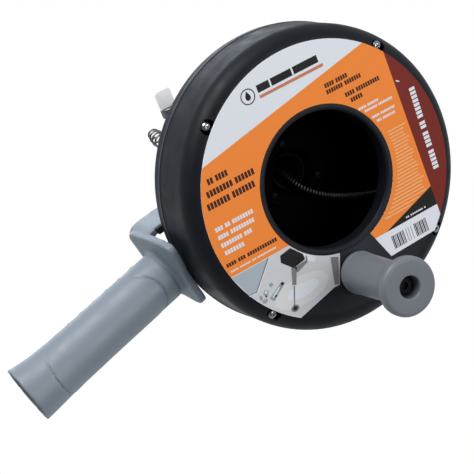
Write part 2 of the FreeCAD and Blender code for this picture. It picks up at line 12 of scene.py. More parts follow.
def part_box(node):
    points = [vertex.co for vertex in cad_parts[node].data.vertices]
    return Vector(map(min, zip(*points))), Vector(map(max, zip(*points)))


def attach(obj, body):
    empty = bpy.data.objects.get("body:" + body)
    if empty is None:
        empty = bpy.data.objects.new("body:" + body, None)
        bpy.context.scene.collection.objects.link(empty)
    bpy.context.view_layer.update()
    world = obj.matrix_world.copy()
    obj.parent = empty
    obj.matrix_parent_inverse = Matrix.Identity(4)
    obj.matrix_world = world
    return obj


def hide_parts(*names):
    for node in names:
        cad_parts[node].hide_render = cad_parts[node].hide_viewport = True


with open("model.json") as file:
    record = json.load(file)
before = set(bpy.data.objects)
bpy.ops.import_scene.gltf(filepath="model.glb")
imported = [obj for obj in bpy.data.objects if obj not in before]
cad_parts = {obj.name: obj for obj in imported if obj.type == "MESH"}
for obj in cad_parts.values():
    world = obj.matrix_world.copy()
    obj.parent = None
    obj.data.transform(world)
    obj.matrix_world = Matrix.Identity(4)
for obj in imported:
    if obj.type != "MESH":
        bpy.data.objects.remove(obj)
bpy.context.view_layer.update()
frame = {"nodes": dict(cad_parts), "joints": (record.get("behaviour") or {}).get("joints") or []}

MM = 0.001
JOINTS = {joint["name"]: joint for joint in frame["joints"]}
KNOB_POINT = Vector(JOINTS["knob_spin"]["pos_m"])
DRUM_REST = math.atan2(KNOB_POINT.z, KNOB_POINT.x)
DRUM = Matrix.Rotation(DRUM_REST, 4, (0, -1, 0))
KNOB = Matrix.Translation(KNOB_POINT)
GRIP_Y = 64.0
PRINT_TURN = math.radians(91.8)
PRINT = DRUM @ Matrix.Rotation(PRINT_TURN, 4, (0, -1, 0))
ON_AXIS = 0.001

# the camera's place and its directions
CAMERA_SPOT = Vector((-506.88, -1100.08, -406.34))
CAMERA_LENS = 151.9
VIEW_RIGHT = Vector((0.53346, -0.45646, 0.71209))
VIEW_DOWN = Vector((0.74814, -0.13812, -0.64901))
VIEW_AHEAD = Vector((0.3946, 0.87896, 0.26781))


# ---------------------------------------------------------------- drawing helpers

def rounded(corners, step=15):
    """A closed outline from (x, y, radius) corners, with true arcs where the radius isn't zero."""
    outline = []
    for index, (x, y, radius) in enumerate(corners):
        here = Vector((x, y))
        before = Vector(corners[index - 1][:2]) - here
        after = Vector(corners[(index + 1) % len(corners)][:2]) - here
        turn = math.pi - before.angle(after)
        if radius == 0 or turn < 0.01:
            outline.append(here)
            continue
        before.normalize()
        after.normalize()
        reach = radius * math.tan(turn / 2)
        centre = here + (before + after).normalized() * (radius / math.cos(turn / 2))
        first, last = here + before * reach - centre, here + after * reach - centre
        count = max(2, math.ceil(math.degrees(turn) / step))
        sweep = first.angle_signed(last)
        for part in range(count + 1):
            angle = -sweep * part / count
            cosine, sine = math.cos(angle), math.sin(angle)
            outline.append(centre + Vector((first.x * cosine - first.y * sine,
                                            first.x * sine + first.y * cosine)))
    return outline


def on_circle(turn, radius, station):
    """The point at a turn, in radians, round the Y axis."""
    return Vector((radius * math.cos(turn), station, radius * math.sin(turn)))


def lathe(shape, outline, segments=128, place=Matrix.Identity(4)):
    """Turns an outline of (radius, station) points, in mm, about the Y axis."""
    turns = [2 * math.pi * index / segments for index in range(segments)]
    rings = []
    for radius, station in outline:
        if radius < ON_AXIS:
            rings.append([shape.verts.new(place @ Vector((0, station * MM, 0)))] * segments)
            continue
        rings.append([shape.verts.new(place @ (on_circle(turn, radius, station) * MM)) for turn in turns])
    for ring, following in zip(rings, rings[1:] + rings[:1]):
        for index in range(segments):
            other = (index + 1) % segments
            corners = [ring[index], ring[other], following[other], following[index]]
            unique = list(dict.fromkeys(corners))
            if len(unique) > 2:
                shape.faces.new(unique)


def prism(shape, outline, low, high, place=Matrix.Identity(4)):
    """A plate: an outline of (x, z) points, in mm, between two stations along Y."""
    bottom = [shape.verts.new(place @ (Vector((x, low, z)) * MM)) for x, z in outline]
    top = [shape.verts.new(place @ (Vector((x, high, z)) * MM)) for x, z in outline]
    shape.faces.new(bottom)
    shape.faces.new(list(reversed(top)))
    for index in range(len(outline)):
        other = (index + 1) % len(outline)
        shape.faces.new((bottom[other], bottom[index], top[index], top[other]))


def tube(shape, points, radius_at, sides=10):
    """A closed tube along points in metres; radius_at(index, turn) gives the radius at each point."""
    tangent = (points[1] - points[0]).normalized()
    normal = tangent.orthogonal().normalized()
    rings = []
    for index, point in enumerate(points):
        ahead = points[min(index + 1, len(points) - 1)] - points[max(index - 1, 0)]
        ahead.normalize()
        normal = (tangent.rotation_difference(ahead) @ normal).normalized()
        tangent = ahead
        across = tangent.cross(normal)
        ring = []
        for side in range(sides):
            turn = 2 * math.pi * side / sides
            arm = normal * math.cos(turn) + across * math.sin(turn)
            ring.append(shape.verts.new(point + arm * radius_at(index, turn)))
        rings.append(ring)
    for ring, following in zip(rings, rings[1:]):
        for side in range(sides):
            other = (side + 1) % sides
            shape.faces.new((ring[side], ring[other], following[other], following[side]))
    shape.faces.new(list(reversed(rings[0])))
    shape.faces.new(rings[-1])


def piece(name, shape, body, material, replaces=(), sharp=35):
    """Turns a drawing into an object that rides on a body."""
    bmesh.ops.recalc_face_normals(shape, faces=shape.faces)
    mesh = bpy.data.meshes.new(name)
    shape.to_mesh(mesh)
    shape.free()
    return settle(bpy.data.objects.new(name, mesh), body, material, replaces, sharp)


def settle(thing, body, material, replaces=(), sharp=35):
    """Shades, dresses and mounts an object."""
    thing.data.shade_smooth()
    thing.data.set_sharp_from_angle(angle=math.radians(sharp))
    if thing.name not in bpy.context.scene.collection.objects:
        bpy.context.scene.collection.objects.link(thing)
    if material:
        thing.data.materials.clear()
        thing.data.materials.append(material)
    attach(thing, body)
    if replaces:
        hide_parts(*replaces)
    return thing


def with_modifiers(thing):
    """The mesh of an object with its modifiers applied."""
    bpy.context.view_layer.update()
    seen = thing.evaluated_get(bpy.context.evaluated_depsgraph_get())
    return bpy.data.meshes.new_from_object(seen)


# ---------------------------------------------------------------- materials

NOISE_SPAN = (0.3, 0.7)
WORN_EDGE_SPAN = (0.53, 0.62)
GRAIN_DEPTH = 0.0004


def remap(tree, value, source, target, kind="LINEAR"):
    """A value carried from one range to another."""
    node = tree.nodes.new("ShaderNodeMapRange")
    node.interpolation_type = kind
    for name, number in zip(("From Min", "From Max", "To Min", "To Max"), (*source, *target)):
        node.inputs[name].default_value = number
    tree.links.new(value, node.inputs["Value"])
    return node.outputs["Result"]


def mix(tree, factor, first, second):
    """Two colours mixed; each one is a socket or three numbers."""
    node = tree.nodes.new("ShaderNodeMix")
    node.data_type = "RGBA"
    for socket, value in ((node.inputs["A"], first), (node.inputs["B"], second)):
        if isinstance(value, bpy.types.NodeSocket):
            tree.links.new(value, socket)
        else:
            socket.default_value = (*value, 1)
    tree.links.new(factor, node.inputs["Factor"])
    return node.outputs["Result"]


def surface(name, colour, roughness, metallic=0.0, mottle=0.06, mottle_size=25, grain=0.12,
            grain_size=1500, rough_spread=0.08, worn=None, specular=0.5):
    """A shader with slow colour variation, uneven gloss, a fine grain and, if asked, worn edges."""
    material = bpy.data.materials.new(name)
    material.use_nodes = True
    tree = material.node_tree
    nodes, links = tree.nodes, tree.links
    shader = nodes["Principled BSDF"]
    shader.inputs["Metallic"].default_value = metallic
    shader.inputs["Specular IOR Level"].default_value = specular
    place = nodes.new("ShaderNodeTexCoord").outputs["Object"]

    def noise(size, detail):
        node = nodes.new("ShaderNodeTexNoise")
        node.inputs["Scale"].default_value = size
        node.inputs["Detail"].default_value = detail
        links.new(place, node.inputs["Vector"])
        return node.outputs["Fac"]

    darker = [c * (1 - mottle) for c in colour]
    lighter = [c * (1 + mottle) for c in colour]
    tone = mix(tree, noise(mottle_size, 4), darker, lighter)
    if worn:
        pointiness = nodes.new("ShaderNodeNewGeometry").outputs["Pointiness"]
        tone = mix(tree, remap(tree, pointiness, WORN_EDGE_SPAN, (0, 1)), tone, worn)
    links.new(tone, shader.inputs["Base Color"])
    rough_span = (roughness - rough_spread, roughness + rough_spread)
    links.new(remap(tree, noise(mottle_size * 3, 3), NOISE_SPAN, rough_span), shader.inputs["Roughness"])
    bump = nodes.new("ShaderNodeBump")
    bump.inputs["Strength"].default_value = grain
    bump.inputs["Distance"].default_value = GRAIN_DEPTH
    links.new(noise(grain_size, 2), bump.inputs["Height"])
    links.new(bump.outputs["Normal"], shader.inputs["Normal"])
    return material


def glow(material, strength):
    """Adds a little white light of its own to a material."""
    shader = material.node_tree.nodes["Principled BSDF"]
    shader.inputs["Emission Color"].default_value = (1, 1, 1, 1)
    shader.inputs["Emission Strength"].default_value = strength


# the room inside the drum, in mm, which gets painted shade, and the two glosses of its plastic, the lower one
# for the painted shade
ROUND_RADIUS, ROUND_STATION, ROUND_INSIDE = 87.2, 12.0, 10.8
ROOM_RADIUS, ROOM_MIDDLE, ROOM_HALF = 95.8, 27.2, 24.9
COLLAR_RADIUS, COLLAR_END = 46.6, 11.2
SHELL_GLOSS, SHADED_ROOM_GLOSS = 0.2, 0.01
ROOM_PAINTED_SHADE = (0.0006, 0.0006, 0.0007)


def shell_black_with_painted_shade(name):
    """The drum's plastic, with painted shade in the room inside: near black and nearly without gloss there,
    apart from the opening's collar.
    """
    material = surface(name, (0.0058, 0.0072, 0.0112), 0.48, worn=(0.018, 0.022, 0.032), grain=0.16,
                       mottle=0.15, specular=SHELL_GLOSS)
    tree = material.node_tree
    nodes, links = tree.nodes, tree.links
    shader = nodes["Principled BSDF"]

    def calculate(operation, *values):
        node = nodes.new("ShaderNodeMath")
        node.operation = operation
        for socket, value in zip(node.inputs, values):
            if isinstance(value, bpy.types.NodeSocket):
                links.new(value, socket)
            else:
                socket.default_value = value
        return node.outputs["Value"]

    def diagonal(first, second):
        squares = [calculate("POWER", value, 2.0) for value in (first, second)]
        return calculate("SQRT", calculate("ADD", *squares))

    axes = nodes.new("ShaderNodeSeparateXYZ")
    links.new(nodes.new("ShaderNodeTexCoord").outputs["Object"], axes.inputs["Vector"])
    x, station, z = axes.outputs
    radius = diagonal(x, z)
    out = calculate("MAXIMUM", calculate("SUBTRACT", radius, ROUND_RADIUS * MM), 0.0)
    down = calculate("MAXIMUM", calculate("SUBTRACT", ROUND_STATION * MM, station), 0.0)
    collar = calculate("MULTIPLY", calculate("LESS_THAN", radius, COLLAR_RADIUS * MM),
                       calculate("LESS_THAN", station, COLLAR_END * MM))
    # painted shade: this mask marks the room inside the drum and the nose, away from the opening's collar,
    # which is made near black and less glossy
    inside = calculate("LESS_THAN", diagonal(out, down), ROUND_INSIDE * MM)
    for mask in (calculate("LESS_THAN", radius, ROOM_RADIUS * MM),
                 calculate("COMPARE", station, ROOM_MIDDLE * MM, ROOM_HALF * MM),
                 calculate("SUBTRACT", 1.0, collar)):
        inside = calculate("MULTIPLY", inside, mask)
    base = shader.inputs["Base Color"]
    links.new(mix(tree, inside, base.links[0].from_socket, ROOM_PAINTED_SHADE), base)
    gloss = calculate("MULTIPLY_ADD", inside, SHADED_ROOM_GLOSS - SHELL_GLOSS, SHELL_GLOSS)
    links.new(gloss, shader.inputs["Specular IOR Level"])
    return material


HANDLE = surface("handle_grey", (0.205, 0.245, 0.285), 0.46, worn=(0.27, 0.31, 0.35), mottle=0.04)
KNOB_GREY = surface("knob_grey", (0.155, 0.172, 0.195), 0.48, worn=(0.2, 0.225, 0.245), mottle=0.04)
# both shells and the nose carry the painted shade of the room inside
DRUM_BLACK = shell_black_with_painted_shade("drum_black")
NOSE_BLACK = shell_black_with_painted_shade("nose_black")
# painted highlight: the bead's plastic is lighter than the shell's
BEAD_PAINTED_HIGHLIGHT = surface("bead_painted_highlight", (0.030, 0.034, 0.045), 0.42, grain=0.1)
TRIM_BLACK = surface("trim_black", (0.015, 0.016, 0.018), 0.62, grain=0.3, mottle=0.12)
ACETAL = surface("bush_white", (0.66, 0.65, 0.61), 0.42, mottle=0.03)
ZINC = surface("zinc", (0.34, 0.36, 0.38), 0.24, 1.0, mottle=0.10, mottle_size=180, grain=0.10,
               grain_size=2600)
# painted shade: a darker copy of the zinc, for the screw collar and the thumbscrew's body
ZINC_PAINTED_SHADE = surface("zinc_painted_shade", (0.17, 0.185, 0.20), 0.42, 1.0, mottle=0.10, mottle_size=180)
# painted highlight: the spade's zinc is near white and glows a little of its own
ZINC_PAINTED_HIGHLIGHT = surface("zinc_painted_highlight", (0.97, 0.97, 0.98), 0.35, 0.05, mottle=0.02, mottle_size=150, grain=0.04)
glow(ZINC_PAINTED_HIGHLIGHT, 0.08)
STEEL = surface("washer_steel", (0.48, 0.48, 0.49), 0.36, 1.0, mottle=0.12, mottle_size=220, grain=0.14)
CABLE = surface("cable_steel", (0.035, 0.035, 0.037), 0.38, 1.0, mottle=0.3, mottle_size=120, grain=0.1,
                worn=(0.11, 0.11, 0.11))
SPRING = surface("spring_steel", (0.22, 0.215, 0.21), 0.34, 1.0, mottle=0.25, mottle_size=120, grain=0.1)
# painted shade: near-black steel for the neck's and anchor's screws, the anchor, and the knob's bolt and end
# washer, which sit in hollows
STEEL_PAINTED_SHADE = surface("black_steel", (0.006, 0.006, 0.007), 0.5, 0.6, mottle=0.2, mottle_size=200, specular=0.2)
PAPER = dict(mottle=0.015, grain=0.04, grain_size=900, rough_spread=0.04, specular=0.22)
WHITE = surface("print_white", (0.80, 0.82, 0.87), 0.52, **PAPER)
ORANGE = surface("print_orange", (0.95, 0.26, 0.035), 0.52, **PAPER)
RED = surface("print_red", (0.195, 0.015, 0.007), 0.52, **PAPER)
INK = surface("print_ink", (0.008, 0.007, 0.007), 0.52, **PAPER)
BROWN = surface("print_brown", (0.045, 0.009, 0.004), 0.52, **PAPER)
TAN = surface("print_tan", (0.60, 0.21, 0.10), 0.52, **PAPER)
PALE = surface("print_pale", (0.90, 0.50, 0.25), 0.52, **PAPER)
BASIN = surface("print_basin", (0.66, 0.66, 0.68), 0.52, **{**PAPER, "mottle": 0.12})
BOWL = surface("print_bowl", (0.75, 0.74, 0.745), 0.52, **{**PAPER, "mottle": 0.08})
TAP = surface("print_tap", (0.30, 0.37, 0.42), 0.52, **{**PAPER, "mottle": 0.35, "mottle_size": 400})
WALL = surface("print_wall", (0.42, 0.48, 0.53), 0.52, **{**PAPER, "mottle": 0.10})
SHADE = surface("print_shade", (0.21, 0.22, 0.22), 0.52, **{**PAPER, "mottle": 0.15})

CAD_DRESS = {
    # the black drum_bumper stands where the strap's rear edge lies in shade next to the drum: painted shade
    "handle": HANDLE, "grip_end_cap": TRIM_BLACK, "drum_bumper": TRIM_BLACK,
    "rear_bush": ACETAL, "front_bush": ACETAL,
    "drum_rear_shell": DRUM_BLACK, "drum_front_shell": DRUM_BLACK, "drum_screws": ZINC, "rear_label": WHITE,
    "nose_tube": NOSE_BLACK, "mouth_bush": TRIM_BLACK, "nose_screws": STEEL_PAINTED_SHADE, "screw_collar": ZINC_PAINTED_SHADE,
    "thrust_washer": STEEL, "retaining_washer": STEEL, "retaining_clip": STEEL,
    "knob": KNOB_GREY, "knob_bolt": STEEL_PAINTED_SHADE, "knob_washer": STEEL, "knob_end_washer": STEEL_PAINTED_SHADE,
    "knob_nut": ZINC, "thumbscrew": ZINC_PAINTED_HIGHLIGHT,
    "cable_coil": CABLE, "cable_lead": CABLE, "cable_front": CABLE, "bulb_head": SPRING,
    "cable_anchor": STEEL_PAINTED_SHADE, "anchor_screw": STEEL_PAINTED_SHADE,
}


def dress_cad():
    """Gives every carried-over piece its material."""
    for name, material in CAD_DRESS.items():
        mesh = frame["nodes"][name].data
        mesh.materials.clear()
        mesh.materials.append(material)
        mesh.shade_smooth()
        mesh.set_sharp_from_angle(angle=math.radians(30))


# ---------------------------------------------------------------- the label

RIM_LINE = ((-78.9, 45.6), (54.7, 70.0))
WEDGE_LINE = ((25.5, -51.6), (68.7, -38.0))
WEDGE_START, WEDGE_SLOPE = 20, 3.18
RED_EDGE = 68.4
BOX_TOP, BOX_START = -51.3, 10
PICTURE_TOP, PICTURE_END = -26.3, -2
BAR_LOW, BAR_HIGH = -64.6, -55.6
FINE_INNER_RADIUS = 51.0
WORD_GAP = 0.7
DOWN_LEAN = 0.04
FIELDS = (WHITE, ORANGE, RED, INK, BASIN)


def above(line, u, v):
    """How far a point lies above a line."""
    (u0, v0), (u1, v1) = line
    return v - v0 - (v1 - v0) * (u - u0) / (u1 - u0)


def label_colour(u, v):
    """The colour field in which a point lies; u reads to the right and v up the label."""
    if above(RIM_LINE, u, v) > 0:
        return WHITE
    if v < BOX_TOP and BOX_START < u < RED_EDGE:
        return WHITE
    if u > RED_EDGE:
        return RED
    if above(WEDGE_LINE, u, v) < 0 and u > WEDGE_START:
        return INK
    if v < PICTURE_TOP and u < PICTURE_END:
        return BASIN
    return ORANGE


def label():
    """The printed ring, cut along its colour fields."""
    source = frame["nodes"]["rear_label"].data
    shape = bmesh.new()
    shape.from_mesh(source)
    back = PRINT.inverted()
    bmesh.ops.transform(shape, matrix=back, verts=shape.verts)
    lines = [RIM_LINE, WEDGE_LINE, ((RED_EDGE, 0), (RED_EDGE, 1)), ((0, BOX_TOP), (1, BOX_TOP)),
             ((0, PICTURE_TOP), (1, PICTURE_TOP))]
    for (u0, v0), (u1, v1) in lines:
        bmesh.ops.bisect_plane(shape, geom=shape.verts[:] + shape.edges[:] + shape.faces[:], dist=1e-7,
                               plane_co=Vector((u0, 0, v0)) * MM, plane_no=Vector((v0 - v1, 0, u1 - u0)))
    for face in shape.faces:
        centre = face.calc_center_median() / MM
        flat = abs(face.normal.y) > 0.5
        face.material_index = FIELDS.index(label_colour(centre.x, centre.z) if flat else WHITE)
    bmesh.ops.transform(shape, matrix=PRINT, verts=shape.verts)
    mesh = bpy.data.meshes.new("label_base")
    shape.to_mesh(mesh)
    shape.free()
    for material in FIELDS:
        mesh.materials.append(material)
    settle(bpy.data.objects.new("label_base", mesh), "drum", None, ["rear_label"], 20)


def strip(u0, v0, u1, v1):
    """A rectangle."""
    return [(u0, v0), (u1, v0), (u1, v1), (u0, v1)]


def words(u, v, height, letters, letter=2.0, fill=0.74):
    """Rows of small blocks that stand for words: letters lists each word's number of blocks."""
    blocks = []
    for count in letters:
        for _ in range(count):
            blocks.append(strip(u, v, u + letter * fill, v + height))
            u += letter
        u += letter * WORD_GAP
    return blocks


def rows(*lines):
    """The blocks of several rows of words."""
    return [block for line in lines for block in words(*line)]


def down_words(u, v, height, letters, letter):
    """Words that read down the label's edge."""
    blocks = []
    for (start, _), (end, _), _, _ in words(v, 0, 1, letters, letter):
        first, last = u + (start - v) * DOWN_LEAN, u + (end - v) * DOWN_LEAN
        blocks.append([(first + height, start), (first, start), (last, end), (last + height, end)])
    return blocks


def printed(name, material, outlines, lift=0):
    """A layer of ink on the label."""
    shape = bmesh.new()
    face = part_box("rear_label")[0].y / MM - 0.02 - lift
    for outline in outlines:
        prism(shape, outline, face - 0.03, face + 0.02, PRINT)
    piece(name, shape, "drum", material, sharp=20)


def ring(u, v, outer, inner, count=40):
    """A ring as short quads."""
    turns = [2 * math.pi * index / count for index in range(count + 1)]
    quads = []
    for start, end in zip(turns, turns[1:]):
        corners = ((outer, start), (outer, end), (inner, end), (inner, start))
        quads.append([(u + radius * math.cos(turn), v + radius * math.sin(turn))
                      for radius, turn in corners])
    return quads


def oval(u, v, wide, high, count=28):
    """An oval, given by its half width and half height."""
    turns = [2 * math.pi * index / count for index in range(count)]
    return [(u + wide * math.cos(turn), v + high * math.sin(turn)) for turn in turns]


def label_print():
    """Everything printed over the colour fields: plain blocks and shapes, with no lettering."""
    drop = [(-31.4, 77.0), (-33.2, 73.6), (-33.3, 72.2), (-32.6, 71.1), (-31.4, 70.6), (-30.2, 71.1),
            (-29.5, 72.2), (-29.6, 73.6)]
    mark = ring(-31.4, 73.2, 5.2, 4.5) + [drop]
    heavy = [strip(-23.8, 72.3, -14.5, 77.2), strip(-13.2, 72.3, 2.5, 77.2), strip(3.8, 72.3, 22.6, 77.2)]
    bars = ((0, 0.5), (0.9, 0.9), (2.3, 0.4), (3.2, 0.4), (4.2, 1.0), (5.8, 0.5), (6.8, 0.9), (8.3, 0.4),
            (9.2, 0.6))
    stripes = [strip(start + step, BAR_LOW, start + step + width, BAR_HIGH)
               for start in (28.6, 46.8) for step, width in bars]
    stripes += [strip(u, BAR_LOW, u + 0.3, BAR_HIGH) for u in (40.2, 42.1, 44.3)]
    printed("print_marks", INK, mark + heavy + stripes)
    printed("print_band", TAN, [strip(-23.8, 68.5, 24.9, 70.5)])
    printed("print_brown", BROWN, rows(
        (-77.6, 34.2, 4.0, (2, 4), 2.3), (-81.0, 26.8, 4.1, (8, 6), 2.45), (-83.6, 19.2, 4.3, (7, 7), 2.45),
        (20.8, 54.7, 2.9, (4, 5), 1.85), (20.6, 50.4, 2.9, (7, 7), 1.85), (32.4, 43.0, 2.9, (4, 10), 1.85),
        (35.0, 38.3, 2.9, (5,), 1.85), (-86.0, -19.6, 2.5, (4, 3, 12), 1.9)))
    white = rows((-84.3, 4.5, 2.8, (3, 2, 8), 2.0), (-84.3, -0.9, 2.8, (4, 9), 2.0),
                 (-84.3, -6.4, 2.8, (8, 3), 2.0), (-83.8, -11.9, 2.8, (7,), 2.1))
    white += down_words(74.6, -29.0, 4.3, (5, 4, 2, 8), 2.75)
    white += rows((37.8, 31.0, 1.6, (5, 7), 1.25), (41.6, 27.9, 1.6, (8, 9), 1.25),
                  (44.9, 21.9, 1.6, (5, 9), 1.25), (47.5, 18.3, 1.6, (3, 8), 1.25),
                  (-84.7, -23.7, 1.1, (5, 7, 3, 12), 1.2), (43.6, -49.6, 1.1, (2, 7, 1), 1.45))
    white += [[(69.8, 36.9), (71.9, 35.4), (72.4, 36.0), (70.4, 37.6)]]
    printed("print_white_words", WHITE, white)
    printed("print_fine", PALE, fine_lines())
    picture()


def fine_lines():
    """The block of fine print between the inner edge, the red strip and the wedge, ragged on the right."""
    lines = []
    for row in range(24):
        v = 8.6 - row * 2.25
        start = math.sqrt(max(0.0, FINE_INNER_RADIUS ** 2 - v ** 2)) + 1.5
        ragged = RED_EDGE - 2 - 3.5 * abs(math.sin(row * 2.4))
        wedge = WEDGE_LINE[0][0] - 2 + (v - WEDGE_LINE[0][1]) * WEDGE_SLOPE
        end = min(ragged, wedge)
        if end - start > 3:
            lines.append(strip(start, v, end, v + 0.75))
    return lines


def picture():
    """A plain scene of a basin with a tool let down its drain."""
    wall = [(-85.6, -27.0), (-57.4, -27.0), (-73.4, -43.6), (-78.6, -43.2)]
    cloth = [(-37.5, -33.0), (-34.2, -36.0), (-26.6, -42.2), (-28.6, -44.4), (-34.6, -41.0)]
    printed("print_wall", WALL, [wall])
    printed("print_bowl", BOWL, [oval(-44.0, -57.5, 21.0, 9.5)])
    edge = [(-58.2, -27.0), (-56.6, -27.0), (-73.0, -44.4), (-79.2, -43.9), (-78.7, -42.8), (-73.6, -43.2)]
    printed("print_bowl_light", WHITE, [oval(-43.0, -57.5, 12.5, 4.6)], 0.02)
    printed("print_light", WHITE, [edge, cloth])
    shade = [[(-45.4, -40.5), (-41.6, -41.6), (-46.2, -52.2), (-49.0, -51.2)],
             [(-43.0, -41.4), (-34.2, -40.6), (-33.6, -39.6), (-33.2, -37.6), (-32.2, -38.6), (-33.4, -42.4),
              (-42.6, -45.4)],
             [(-48.4, -52.0), (-47.4, -52.4), (-52.4, -64.6), (-53.2, -64.4)],
             [(-17.2, -47.2), (-11.8, -49.6), (-17.9, -66.4), (-21.2, -65.4)],
             oval(-52.8, -66.0, 3.0, 2.2)]
    printed("print_shade", SHADE, shade, 0.04)
    tap = [[(-70.0, -46.6), (-67.6, -44.6), (-65.4, -46.8), (-68.0, -49.6)],
           [(-66.8, -51.6), (-56.0, -45.8), (-54.2, -47.8), (-64.4, -54.6)],
           [(-64.0, -43.0), (-61.6, -42.4), (-61.0, -44.6), (-63.6, -45.0)],
           oval(-70.4, -51.6, 2.0, 1.3), oval(-72.2, -48.4, 1.0, 1.8)]
    printed("print_tap", TAP, tap, 0.04)
    gleam = [oval(-67.6, -46.6, 0.9, 0.9), [(-64.6, -51.4), (-58.0, -47.6), (-57.6, -48.3), (-64.0, -52.3)]]
    printed("print_gleam", WHITE, gleam, 0.06)
    dark = [[(-49.6, -29.6), (-41.2, -28.2), (-34.4, -36.0), (-34.2, -39.8), (-43.8, -41.4), (-50.8, -34.0)],
            oval(-52.8, -66.0, 1.7, 1.2), oval(-55.0, -46.8, 1.2, 1.1), oval(-62.2, -52.0, 1.0, 0.6),
            oval(-68.6, -49.0, 0.6, 0.9)]
    printed("print_dark", INK, dark, 0.06)


# ---------------------------------------------------------------- the drum's lip and bead

def opening_lip():
    """The rolled lip round the drum's opening."""
    lip = bmesh.new()
    outline = rounded([(48.7, 0.1, 0), (48.7, -0.25, 0.2), (44.6, -0.25, 2.2), (44.6, 11.0, 0.4),
                       (46.2, 11.0, 0), (46.2, 0.1, 0)], 10)
    lathe(lip, outline, 160)
    piece("drum_lip", lip, "drum", DRUM_BLACK, (), 40)


def drum_bead():
    """The raised bead just behind the joint of the two shells, in plastic lighter than the shell's: a painted
    highlight.
    """
    bead = bmesh.new()
    lathe(bead, rounded([(98.2, 40.9, 0), (99.15, 41.1, 0.3), (99.15, 42.7, 0.3), (98.2, 42.9, 0)]), 160)
    piece("drum_bead", bead, "drum", BEAD_PAINTED_HIGHLIGHT, (), 40)


# ---------------------------------------------------------------- the handle

VOXEL = 0.75
GRIP_START, GRIP_INNER = -110, 15.8
PANEL_TOP, PANEL_BOTTOM, PANEL_HALF_WIDTH = -132.6, -199.0, 17.7
PANEL_TOP_ROUND, PANEL_BOTTOM_ROUND = 15.8, 9.3
PANEL_RISE, PANEL_SLOPE, LINE_WIDTH = 0.3, 0.08, 0.035
LINE_DEPTH_TOP, LINE_DEPTH = 1.15, 0.7
GROOVE_RADIUS, GROOVE_HEIGHT, GROOVE_HALF_WIDTH, GROOVE_DEPTH = 18.2, -107.2, 0.9, 0.9
FOOT_START, FOOT_HEIGHT, FOOT_SWELL = -204, 22, 2.2
FOOT_DIRECTION = (-0.92, 0.38, 0)


def handle():
    """The grey moulding: the frame's own solid with softened edges, a palm panel and its joint line."""
    copy = bpy.data.objects.new("handle_moulding", frame["nodes"]["handle"].data.copy())
    bpy.context.scene.collection.objects.link(copy)
    remesh = copy.modifiers.new("remesh", "REMESH")
    remesh.mode = "VOXEL"
    remesh.voxel_size = VOXEL * MM
    soften = copy.modifiers.new("soften", "SMOOTH")
    soften.factor = 0.5
    soften.iterations = 8
    mesh = with_modifiers(copy)
    bpy.data.objects.remove(copy)
    mould_grip(mesh)
    settle(bpy.data.objects.new("handle_moulding", mesh), "handle", HANDLE, ["handle"], 60)


def mould_grip(mesh):
    """Raises the palm panel on the back of the grip, sinks the line round it and swells the foot."""
    count = len(mesh.vertices)
    spots, normals = np.zeros(count * 3), np.zeros(count * 3)
    mesh.vertices.foreach_get("co", spots)
    mesh.vertices.foreach_get("normal", normals)
    spots, normals = spots.reshape(-1, 3) / MM, normals.reshape(-1, 3)
    x, y, z = spots.T

    def from_axis():
        """The distance of each point, where it is by now, from the grip's axis."""
        return np.hypot(x, y - GRIP_Y)

    outside = (from_axis() > GRIP_INNER) & (z < GRIP_START)
    past_top, past_bottom = (z - PANEL_TOP) / PANEL_TOP_ROUND, (PANEL_BOTTOM - z) / PANEL_BOTTOM_ROUND
    rise = np.where(z > PANEL_TOP, past_top, np.where(z < PANEL_BOTTOM, past_bottom, 0.0))
    reach = np.hypot(x / PANEL_HALF_WIDTH, rise)
    inside = np.clip((1 - reach) / PANEL_SLOPE, 0, 1)
    line = np.exp(-((reach - 1.0) / LINE_WIDTH) ** 2) * np.clip((17.0 - np.abs(x)) / 5, 0, 1)
    depth = np.where(z > PANEL_TOP, LINE_DEPTH_TOP, LINE_DEPTH)
    back = np.clip((GRIP_Y - y) / 6, 0, 1)
    raised = PANEL_RISE * inside * inside * (3 - 2 * inside)
    spots += normals * np.where(outside, back * (raised - depth * line), 0)[:, None]
    on_skin = np.abs(from_axis() - GROOVE_RADIUS) < 2
    groove = np.exp(-((z - GROOVE_HEIGHT) / GROOVE_HALF_WIDTH) ** 2) * on_skin
    spots -= (GROOVE_DEPTH * groove)[:, None] * np.stack([x, y - GRIP_Y, 0 * z], 1) / 18
    foot = np.clip((FOOT_START - z) / FOOT_HEIGHT, 0, 1) ** 2 * (from_axis() > 12)
    spots += (foot * np.clip(-x / 15, 0, 1) * FOOT_SWELL)[:, None] * np.array(FOOT_DIRECTION)
    mesh.vertices.foreach_set("co", (spots * MM).ravel())


# ---------------------------------------------------------------- cables

def smooth_path(corners, spacing):
    """A smooth line that starts and ends at the first and last corner and passes near the others."""
    middles = [(a + b) / 2 for a, b in zip(corners[1:-2], corners[2:-1])]
    knots = [corners[0]] + middles + [corners[-1]]
    line = [corners[0]]
    for start, corner, end in zip(knots, corners[1:-1], knots[1:]):
        for step in range(1, 41):
            t = step / 40
            line.append(start * (1 - t) ** 2 + corner * 2 * t * (1 - t) + end * t * t)
    return even(line, spacing)


def even(line, spacing):
    """The same line with points at an even spacing."""
    spots = np.array([tuple(point) for point in line])
    along = np.concatenate([[0], np.cumsum(np.linalg.norm(np.diff(spots, axis=0), axis=1))])
    count = max(2, round(along[-1] / spacing) + 1)
    wanted = np.linspace(0, along[-1], count)
    columns = [np.interp(wanted, along, spots[:, axis]) for axis in range(3)]
    return [Vector(row) for row in np.stack(columns, 1)]


